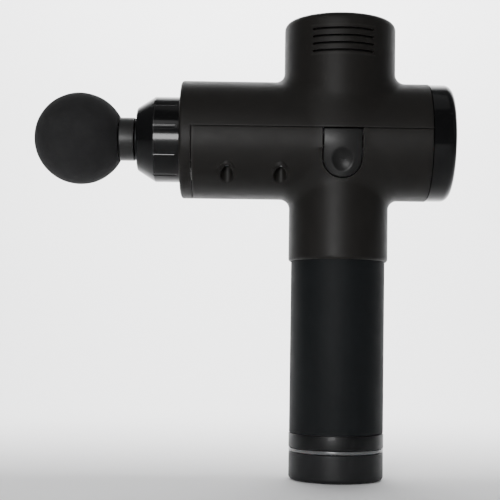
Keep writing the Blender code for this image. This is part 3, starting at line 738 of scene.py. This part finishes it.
def make_housing(finishes):
    """Upper and lower shell, cut from one skin so that the surface runs on across the seams."""
    margin = 2 * MM
    low = (FRONT_X - margin, -BARREL_R - margin, COLLAR_BOTTOM - margin)
    high = (REAR_SEAM_X + margin, BARREL_R + margin, TOWER_TOP + margin)
    points, quads = surface_net(housing_field, low, high, 1.15 * MM)
    rear = REAR_SEAM_X - 0.02 * MM
    half_gap = SEAM_GAP / 2
    reach = 3 * MM

    body = skin_copy(
        points, quads,
        lambda p: (p[:, 2] > SEAM_Z - reach) | (p[:, 0] < FRONT_SEAM_X + reach),
        near_vents,
    )
    for line in (
        plane(0, rear), plane(2, SEAM_Z + half_gap), plane(0, FRONT_SEAM_X - half_gap),
        lambda p: from_drive_line(p) - NOSE_HOLE_R,
    ):
        score(body, housing_field, line, 0.3 * MM)
    score(body, housing_field, vent_line, 0.1 * MM)
    drop(body, lambda p: p[:, 0] > rear)
    drop(body, lambda p: (p[:, 0] > FRONT_SEAM_X - half_gap) & (p[:, 2] < SEAM_Z + half_gap))
    drop(body, lambda p: from_drive_line(p) < NOSE_HOLE_R)
    drop(body, lambda p: (vent_line(p) < 0) & (p[:, 2] > VENT_ZS[-1] - MM))
    shell = finish_piece("upper_housing", body, finishes["housing"], "housing", ["upper_shell"])
    thicken(shell, WALL, 0.24 * MM)

    body = skin_copy(
        points, quads,
        lambda p: (p[:, 2] < SEAM_Z + reach) & (p[:, 0] > FRONT_SEAM_X - reach),
        lambda p: near_recess(p) or near_window(p),
    )
    collar_hole = 25.75 * MM
    for line in (
        plane(0, rear), plane(2, SEAM_Z - half_gap), plane(0, FRONT_SEAM_X + half_gap),
        lambda p: from_handle_line(p) - collar_hole,
    ):
        score(body, housing_field, line, 0.3 * MM)
    score(body, housing_field, window_line, 0.1 * MM)
    drop(body, lambda p: p[:, 0] > rear)
    drop(body, lambda p: (p[:, 0] < FRONT_SEAM_X + half_gap) | (p[:, 2] > SEAM_Z - half_gap))
    drop(body, lambda p: (from_handle_line(p) < collar_hole) & (p[:, 2] < COLLAR_BOTTOM + MM))
    drop(body, lambda p: (window_line(p) < 0) & (np.abs(p[:, 1]) > TAB_HALF))
    shell = finish_piece("lower_housing", body, finishes["housing"], "housing", ["lower_shell"])
    thicken(shell, WALL, 0.24 * MM)


def make_side_covers(finishes):
    """The glossier U-shaped cover on each side."""
    low = (-TAB_HALF - MM, -BARREL_R - MM, TAB_LOW.z - MM)
    deepest = -0.58 * BARREL_R
    high = (TAB_HALF + MM, deepest, TAB_HIGH.z + MM)
    points, quads = surface_net(tab_field, low, high, 0.40 * MM, relax=5)
    for name, side in (("side_cover_left", 1), ("side_cover_right", -1)):
        body = skin_of(points * (1, side, 1), quads[:, ::side])
        piece = name.replace("side_cover", "dimpled_cover")
        finish_piece(piece, body, finishes["cover"], "housing", [name], smooth=50)


def make_vent_shade_sheets(finishes):
    """Black sheet on the inside of the tower, behind the slots on each side: painted shade for the dark
    seen through the vents.
    """
    inner, outer = TOWER_R - WALL - 1.3 * MM, TOWER_R - WALL - 0.5 * MM
    low, high = VENT_ZS[-1] - 2.2 * MM, VENT_ZS[0] + 2.2 * MM
    half_angle = math.asin((VENT_HALF_X + 2 * MM) / TOWER_R)
    steps = 28
    for name, side in (("left", -1), ("right", 1)):
        body = bmesh.new()
        rows = []
        for radius, z in ((outer, high), (outer, low), (inner, low), (inner, high)):
            row = []
            for step in range(steps + 1):
                angle = half_angle * (2 * step / steps - 1)
                row.append(body.verts.new((radius * math.sin(angle), side * radius * math.cos(angle), z)))
            rows.append(row)
        for upper, lower in zip(rows, rows[1:] + rows[:1]):
            for i in range(steps):
                body.faces.new((upper[i], lower[i], lower[i + 1], upper[i + 1]))
        for end in (0, steps):
            body.faces.new([row[end] for row in rows])
        # The near-black sheet is painted shade, standing for the dark interior behind the vents.
        piece = finish_piece(f"vent_shade_sheet_{name}", body, finishes["screen"], "housing")
        bevel = piece.modifiers.new("Edges", "BEVEL")
        bevel.width = 0.15 * MM


# Turned and small pieces ------------------------------------------------------------------------
def groove_depth(angle, x):
    """Depth of the nose's flutes at an angle round the drive line and a place along it."""
    pitch = 2 * math.pi / GROOVES
    off = (angle - GROOVE_START) % pitch
    across = min(off, pitch - off) * NOSE_R
    along = max(abs(x - GROOVE_MIDDLE) - GROOVE_HALF_LENGTH, 0)
    inside = GROOVE_HALF_WIDTH - math.hypot(across, along)
    share = min(max(inside / GROOVE_FLANK, 0), 1)
    return GROOVE_DEPTH * share * share * (3 - 2 * share)


def nose_angles():
    """Angles round the nose, closer together across each flute."""
    pitch = 2 * math.pi / GROOVES
    reach = (GROOVE_HALF_WIDTH + 0.35 * MM) / NOSE_R
    found = []
    for index in range(GROOVES):
        middle = GROOVE_START + index * pitch
        found += [middle + reach * (2 * i / 18 - 1) for i in range(19)]
        land = pitch - 2 * reach
        found += [middle + reach + land * i / 9 for i in range(1, 9)]
    return found


def along_x(body):
    """Turns a body that was made round Z so that its height runs along X on the drive line."""
    bmesh.ops.rotate(body, cent=(0, 0, 0), matrix=Matrix.Rotation(math.pi / 2, 3, "Y"), verts=body.verts)
    bmesh.ops.translate(body, vec=(0, 0, BARREL_Z), verts=body.verts)
    return body


def make_nose(finishes):
    """Fluted gloss sleeve round the hammer shaft, with its soft wiper inside the mouth.

    The long straight stretches have many rows, so that the flutes' ends are smooth.
    """
    low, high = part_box("nose_sleeve")
    face, root = low.x, FRONT_X
    flange = high.x
    chamfer = -99.3 * MM
    fillet = 1.0 * MM
    mouth, inside = 12.25 * MM, 15 * MM
    flange_r, shoulder = 27.5 * MM, root + WALL + 0.3 * MM
    lip_r, lip_edge = 16.55 * MM, 0.75 * MM
    profile = [(flange_r, flange), (flange_r, shoulder), (NOSE_R, shoulder), (NOSE_R, root + 0.2 * MM)]
    start, end = root - 0.8 * MM, chamfer + 0.9 * MM
    profile += [(NOSE_R, x) for x in np.linspace(start, end, 35)]
    profile += arc((NOSE_R - fillet, chamfer + fillet * 0.9), fillet, 0, -42, 4)
    tip = (lip_r + 0.56 * MM, face + 0.25 * MM)
    profile += [tuple(spot) for spot in np.linspace(profile[-1], tip, 13)[1:-1]]
    profile += arc((lip_r, face + lip_edge), lip_edge, -42, -90, 4)
    profile += [(mouth + 0.5 * MM, face), (mouth + 0.15 * MM, face + 0.15 * MM), (mouth, face + 0.5 * MM)]
    profile += [(mouth, face + 1.6 * MM), (inside, face + 1.6 * MM), (inside, flange)]

    def fluted(angle, radius, x):
        if radius < mouth + MM or x > root:
            return radius
        return min(radius, NOSE_R - groove_depth(angle, x))

    body = turned(profile, angles=nose_angles(), sweep=fluted)
    finish = finishes["gloss"]
    finish_piece("fluted_nose", along_x(body), finish, "housing", ["nose_sleeve"], smooth=32)

    low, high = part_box("nose_seal")
    outer, throat, lip = high.y, 13.0 * MM, 11.55 * MM
    profile = [
        (outer, high.x), (outer, low.x), (throat + 0.3 * MM, low.x), (throat, low.x + 0.3 * MM),
        (throat, -104.2 * MM), (lip + 0.1 * MM, -104.4 * MM), (lip, -104.1 * MM), (lip, -103.7 * MM),
        (throat, high.x),
    ]
    body = along_x(turned(profile))
    finish_piece("nose_wiper", body, finishes["rubber"], "housing", ["nose_seal"])


def make_shaft(finishes):
    """Blackened hammer shaft with a deep socket in front and the fork for the rod behind."""
    low, high = SHAFT_LOW, SHAFT_HIGH
    radius, socket, depth = 11.25 * MM, 8.3 * MM, 24 * MM
    fork_front, slot_front = -62.5 * MM, -59 * MM
    profile = [(0, fork_front), (radius - 0.4 * MM, fork_front), (radius, fork_front - 0.4 * MM)]
    profile += arc((radius - 0.7 * MM, low.x + 0.7 * MM), 0.7 * MM, 0, -90, 5)
    profile += [(socket + 0.6 * MM, low.x), (socket, low.x + 0.6 * MM)]
    profile += [(socket, low.x + depth - 0.5 * MM), (socket - 0.5 * MM, low.x + depth), (0, low.x + depth)]
    body = along_x(turned(profile))
    half_height, half_width, slot_half = 8.8 * MM, 6.8 * MM, 3.3 * MM
    boxes = [((fork_front - 1 * MM, -half_width, -half_height), (slot_front, half_width, half_height))]
    for side in (-1, 1):
        ends = sorted((side * slot_half, side * half_height))
        boxes.append(((slot_front - 0.2 * MM, -half_width, ends[0]), (high.x, half_width, ends[1])))
    for corner, other in boxes:
        add_box(body, Vector(corner) + Vector((0, 0, BARREL_Z)), Vector(other) + Vector((0, 0, BARREL_Z)))
    piece = finish_piece("hammer_shaft", body, finishes["blackened"], "shaft", ["drive_shaft"])
    bevel = piece.modifiers.new("Edges", "BEVEL")
    bevel.width = 0.25 * MM
    bevel.segments = 2
    bevel.angle_limit = math.radians(50)


def add_box(body, low, high):
    """Adds a closed box between two corners to a body."""
    made = bmesh.ops.create_cube(body, size=1.0)["verts"]
    bmesh.ops.scale(body, vec=high - low, verts=made)
    bmesh.ops.translate(body, vec=(high + low) / 2, verts=made)


def make_ball(finishes):
    """Foam ball with its seat round the adapter, and the adapter that cups it."""
    low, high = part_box("ball_head")
    radius = (high.y - low.y) / 2
    centre = low.x + radius
    neck, stud = 11.6 * MM, 7.0 * MM
    seat = neck + 0.9 * MM
    dip = centre + math.sqrt(radius**2 - seat**2)
    open_angle = math.degrees(math.asin(seat / radius))
    profile = [(stud + 0.3 * MM, dip - 12 * MM), (stud + 0.3 * MM, dip - 1.2 * MM), (neck, dip - 0.5 * MM)]
    profile += arc((0, centre), radius, 90 - open_angle, -90, 72)
    profile[-1] = (0, low.x)
    profile.append((0, dip - 12 * MM))
    body = along_x(turned(profile, steps=144))
    for vert in body.verts:
        out = vert.co - Vector((centre, 0, BARREL_Z))
        if out.length > radius * 0.98:
            x, y, z = out / radius
            wave = math.sin(9 * x + 2) * math.sin(8 * y) * math.sin(7 * z + 1)
            vert.co -= out.normalized() * 0.05 * MM * (1 + wave)
    ball = finish_piece("foam_ball", body, finishes["foam"], "head", ["ball_head"])

    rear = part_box("head_adapter")[1].x
    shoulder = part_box("drive_shaft")[0].x - 0.3 * MM
    plug, groove, groove_r = 8.0 * MM, -93.0 * MM, 7.1 * MM
    profile = [(0, rear), (plug - 1 * MM, rear), *arc((plug - 1 * MM, rear - 1 * MM), 1 * MM, 80, 0, 5)]
    profile += [(plug, groove + 1.1 * MM), (groove_r, groove + 1.1 * MM), (groove_r, groove - 1.1 * MM)]
    profile += [(plug, groove - 1.1 * MM), (plug, shoulder + 0.3 * MM), (plug + 0.3 * MM, shoulder)]
    profile += arc((neck - 0.5 * MM, shoulder - 0.5 * MM), 0.5 * MM, 90, 0, 4)
    profile += [(neck, dip + 1.2 * MM), *arc((neck - 0.35 * MM, dip + 0.75 * MM), 0.35 * MM, 0, -70, 3)]
    profile += [(neck - 1.0 * MM, dip + 0.45 * MM), (stud, dip + 0.3 * MM)]
    profile += [(stud, dip - 11 * MM), (0, dip - 11 * MM)]
    body = along_x(turned(profile))
    finish_piece("ball_adapter", body, finishes["head_plastic"], "head", ["head_adapter"])
    tube, middle = 0.5 * MM, plug - 0.35 * MM
    turns = [math.radians(-36 * i) for i in range(10)]
    profile = [(middle + tube * math.cos(a), groove + 1.5 * tube * math.sin(a)) for a in turns]
    body = along_x(turned(profile))
    finish_piece("plug_ring", body, finishes["rubber"], "head", ["head_o_ring"])


def make_rear(finishes):
    """Gloss rear cap, its touch glass and the faint marks under the glass."""
    low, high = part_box("rear_bezel")
    outer, edge, glass = high.y, 4.6 * MM, 25.6 * MM
    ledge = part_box("display_lens")[0].x - 1.7 * MM
    profile = [(glass, high.x - 0.25 * MM), (glass + 0.25 * MM, high.x)]
    profile += arc((outer - edge, high.x - edge), edge, 90, 0, 14)
    bore, opening, ledge_top = 28.5 * MM, 23.5 * MM, ledge + 1.4 * MM
    profile += [(outer, low.x + 0.3 * MM), (outer - 0.3 * MM, low.x), (bore, low.x), (bore, ledge)]
    profile += [(opening, ledge), (opening, ledge_top), (glass, ledge_top)]
    body = along_x(turned(profile, 160))
    finish_piece("rear_cap", body, finishes["gloss"], "housing", ["rear_bezel"])

    low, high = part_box("display_lens")
    rim, crown = high.y, 0.25 * MM
    bow = (rim**2 + crown**2) / (2 * crown)
    profile = [(rim * i / 10, high.x - bow + math.sqrt(bow**2 - (rim * i / 10) ** 2)) for i in range(11)]
    profile[-1] = (rim - 0.2 * MM, high.x - crown)
    profile += [(rim, high.x - crown - 0.2 * MM), (rim, low.x), (0, low.x)]
    body = along_x(turned(profile, 160))
    finish_piece("display_glass", body, finishes["lens"], "housing", ["display_lens"])
    make_display_marks(finishes, high.x)


def make_display_marks(finishes, face):
    """Printed ring of level bars with a generic power symbol, plus and minus."""
    body = bmesh.new()

    def bar(radius, start, end, width):
        """Curved bar about the middle of the glass, between two angles in degrees."""
        count = max(2, int(abs(end - start) / 6))
        sides = []
        for rise in (-0.12 * MM, 0.03 * MM):
            for r in (radius - width / 2, radius + width / 2):
                turns = [math.radians(start + (end - start) * i / count) for i in range(count + 1)]
                spots = [(r * math.cos(t), BARREL_Z + r * math.sin(t)) for t in turns]
                sides.append([body.verts.new((face + rise - 0.02 * MM, y, z)) for y, z in spots])
        inner_low, outer_low, inner_high, outer_high = sides
        around = [inner_low, outer_low, outer_high, inner_high]
        for a, b in zip(around, around[1:] + around[:1]):
            for i in range(count):
                body.faces.new((a[i], b[i], b[i + 1], a[i + 1]))
        for end_at in (0, count):
            body.faces.new([row[end_at] for row in around])

    def stroke(across, up, half_width, half_height):
        add_box(
            body, Vector((face - 0.14 * MM, across - half_width, BARREL_Z + up - half_height)),
            Vector((face + 0.01 * MM, across + half_width, BARREL_Z + up + half_height)),
        )

    bars, gap_below = 10, 72
    pitch = (360 - gap_below) / bars
    for index in range(bars):
        start = 126 + index * pitch
        bar(17 * MM, start, start + 23, 0.9 * MM)
    bar(3.2 * MM, 120, 420, 0.6 * MM)
    stroke(0, 3.0 * MM, 0.3 * MM, 1.7 * MM)
    stroke(9.5 * MM, 0, 1.7 * MM, 0.3 * MM)
    stroke(-9.5 * MM, 0, 1.7 * MM, 0.3 * MM)
    stroke(-9.5 * MM, 0, 0.3 * MM, 1.7 * MM)
    finish_piece("display_marks", body, finishes["mark"], "housing")


def ring_body(node, bore, edge):
    """Tube with the outside and the height of a CAD node, its outer edges rounded."""
    low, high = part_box(node)
    flat = high.y - edge
    profile = [(bore, high.z), (flat, high.z), *arc((flat, high.z - edge), edge, 80, 0, 4)]
    profile += [*arc((flat, low.z + edge), edge, 0, -80, 4), (flat, low.z), (bore, low.z)]
    return turned(profile, 160)


def make_handle(finishes):
    """Rubber grip, satin light band and smoked ring."""
    body = ring_body("grip_sleeve", TUBE_HOLE_R, 0.5 * MM)
    finish_piece("rubber_grip", body, finishes["grip"], "housing", ["grip_sleeve"])
    body = ring_body("light_band", TUBE_HOLE_R, 0.35 * MM)
    finish_piece("gloss_band", body, finishes["band"], "housing", ["light_band"])
    body = ring_body("light_ring", 21 * MM, 0.3 * MM)
    finish_piece("frosted_ring", body, finishes["light"], "housing", ["light_ring"])


def make_handle_cap(finishes):
    """Cap that the handle stands on, with its screws and the charging inlet."""
    low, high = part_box("end_cap")
    edge, inner, floor, lip = 2.2 * MM, CAP_R - 2.4 * MM, 3 * MM, 0.3 * MM
    profile = [(0, floor), (inner, floor), (inner, high.z), (CAP_R - lip, high.z), (CAP_R, high.z - lip)]
    profile += [*arc((CAP_R - edge, edge), edge, 0, -90, 10), (0, 0)]
    body = turned(profile, 160)
    cap = finish_piece("handle_cap", body, finishes["end_plastic"], "housing", ["end_cap"])
    switch_low, switch_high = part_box("switch_housing")
    slack = Vector((0.25 * MM, 0.25 * MM, 0))
    body = bmesh.new()
    add_box(body, Vector((*(switch_low - slack).xy, -5 * MM)), Vector((*(switch_high + slack).xy, 5 * MM)))
    cut_with(cap, body, "switch_opening")
    jack_low, jack_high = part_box("dc_jack")
    jack_x, jack_r = (jack_low.x + jack_high.x) / 2, jack_high.y
    cut_with(cap, turned(post(jack_r + 0.25 * MM, 5 * MM, -5 * MM), 48, (jack_x, 0, 0)), "jack_opening")
    for index in (1, 2):
        node = f"end_cap_screw_{index}"
        low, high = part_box(node)
        spot = ((low.x + high.x) / 2, (low.y + high.y) / 2, 0)
        cut_with(cap, turned(post(high.x + 0.3 * MM, 1.8 * MM, -5 * MM), 48, spot), f"counterbore_{index}")
        cut_with(cap, turned(post(1.8 * MM, 5 * MM, 1 * MM), 24, spot), f"screw_hole_{index}")
        screw = screw_body(high.z, low.z, 2.9 * MM, 1.1 * MM)
        bmesh.ops.translate(screw, vec=spot, verts=screw.verts)
        finish_piece(f"cap_screw_{index}", screw, finishes["steel"], "housing", [node])

    face, lip, hole, pin, root = 0.6 * MM, 0.3 * MM, 2.9 * MM, 1 * MM, 10.5 * MM
    profile = [(0, jack_high.z), (jack_r, jack_high.z), (jack_r, face + lip), (jack_r - lip, face)]
    profile += [(hole + lip, face), (hole, face + lip), (hole, root), (pin, root)]
    profile += [(pin, 2.8 * MM), (0.6 * pin, 2.2 * MM), (0, 2.2 * MM)]
    body = turned(profile, 48, (jack_x, 0, 0))
    finish_piece("charging_inlet", body, finishes["inner_plastic"], "housing", ["dc_jack"])


def post(radius, high, low):
    return [(0, high), (radius, high), (radius, low), (0, low)]


def cut_with(piece, body, name):
    """Cuts a closed body out of a piece and applies it."""
    bmesh.ops.recalc_face_normals(body, faces=body.faces)
    mesh = bpy.data.meshes.new(name)
    body.to_mesh(mesh)
    body.free()
    cutter = bpy.data.objects.new(name, mesh)
    bpy.context.scene.collection.objects.link(cutter)
    step = piece.modifiers.new("Cut", "BOOLEAN")
    step.object = cutter
    step.solver = "EXACT"
    bpy.context.view_layer.update()
    graph = bpy.context.evaluated_depsgraph_get()
    cut = bpy.data.meshes.new_from_object(piece.evaluated_get(graph))
    piece.modifiers.clear()
    finish = piece.data.materials[0]
    old, piece.data = piece.data, cut
    bpy.data.meshes.remove(old)
    bpy.data.objects.remove(cutter)
    bpy.data.meshes.remove(mesh)
    cut.materials.clear()
    cut.materials.append(finish)
    cut.set_sharp_from_angle(angle=math.radians(35))


def screw_body(top, bottom, head_r, head_height):
    """Pan-head screw, head down, with a cross recess, and a threaded shank up to its top."""
    neck = bottom + head_height
    shank_r, core_r, pitch = 1.5 * MM, 1.15 * MM, 0.8 * MM
    profile = [(0, top), (core_r, top)]
    height = top
    while height - pitch > neck + pitch:
        profile += [(core_r, height - 0.3 * pitch), (shank_r, height - 0.6 * pitch)]
        profile += [(core_r, height - pitch)]
        height -= pitch
    profile += [(core_r, neck), (head_r, neck), (head_r, bottom + 0.35 * MM)]
    profile += arc((head_r - 0.35 * MM, bottom + 0.35 * MM), 0.35 * MM, -20, -90, 3)
    slot = 0.34 * head_r
    profile += [(slot * 1.7, bottom), (slot * 1.3, bottom), (slot * 0.5, bottom + 0.75 * head_height)]
    profile += [(0, bottom + 0.8 * head_height)]

    def cross(angle, radius, height):
        if height < neck and 0 < radius <= slot * 1.75:
            return radius * (0.42 + 0.58 * abs(math.cos(2 * angle)) ** 3)
        return radius

    return turned(profile, 48, sweep=cross)


def make_housing_screws(finishes):
    for index, (low, high) in enumerate(SCREWS, 1):
        screw = screw_body(high.z, low.z, (high.x - low.x) / 2, 1.9 * MM)
        bmesh.ops.translate(screw, vec=((low.x + high.x) / 2, (low.y + high.y) / 2, 0), verts=screw.verts)
        name = f"housing_screw_{index}"
        finish_piece(f"cross_{name}", screw, finishes["steel"], "housing", [name])


def soften_cad():
    """Rounds the edges of three CAD nodes that stay in the scene."""
    widths = {"power_rocker": 0.4 * MM, "switch_housing": 0.25 * MM, "inner_frame": 0.5 * MM}
    for name, width in widths.items():
        bevel = frame["nodes"][name].modifiers.new("Edges", "BEVEL")
        bevel.width = width
        bevel.segments = 3
        bevel.limit_method = "ANGLE"
        bevel.angle_limit = math.radians(40)


set_camera()
make_stage()
FINISHES = make_finishes()
dress_frame(FINISHES)
make_housing(FINISHES)
make_side_covers(FINISHES)
make_vent_shade_sheets(FINISHES)
make_housing_screws(FINISHES)
make_nose(FINISHES)
make_shaft(FINISHES)
make_ball(FINISHES)
make_rear(FINISHES)
make_handle(FINISHES)
make_handle_cap(FINISHES)
soften_cad()
